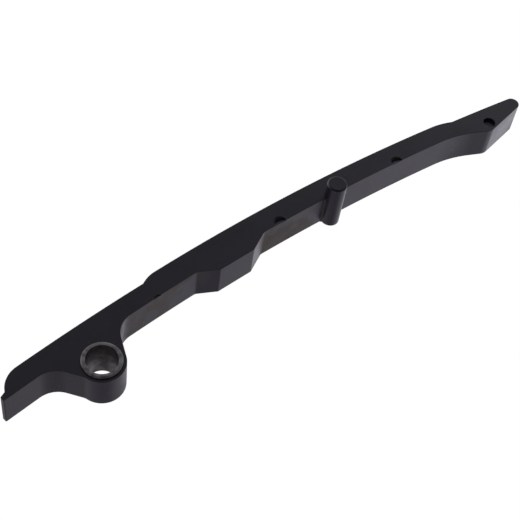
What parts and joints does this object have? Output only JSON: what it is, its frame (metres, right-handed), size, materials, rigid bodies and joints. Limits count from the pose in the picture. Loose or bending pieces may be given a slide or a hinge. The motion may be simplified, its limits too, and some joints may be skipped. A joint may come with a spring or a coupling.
{
  "type": "timing chain guide",
  "caption": "Long curved black plastic rail with low side lips that guides a running chain, with a steel-sleeved pivot boss, a step block and a locating post on its back and a wedge-shaped end.",
  "frame": {"origin": "pivot axis at the lower end of the sleeve, which seats on the engine", "axes": "+X along the rail from the pivot to the wedge end, +Y to the running side, +Z along the pivot axis to the side with the post"},
  "size_m": [0.2241, 0.0302, 0.0207],
  "materials": {
    "moulded_rail": "black glass-filled polyamide, satin as moulded",
    "steel_sleeve": "dull grey turned steel"
  },
  "bodies": {
    "root": {"guide_rail": "moulded_rail", "pivot_bush": "steel_sleeve"}
  },
  "joints": []
}
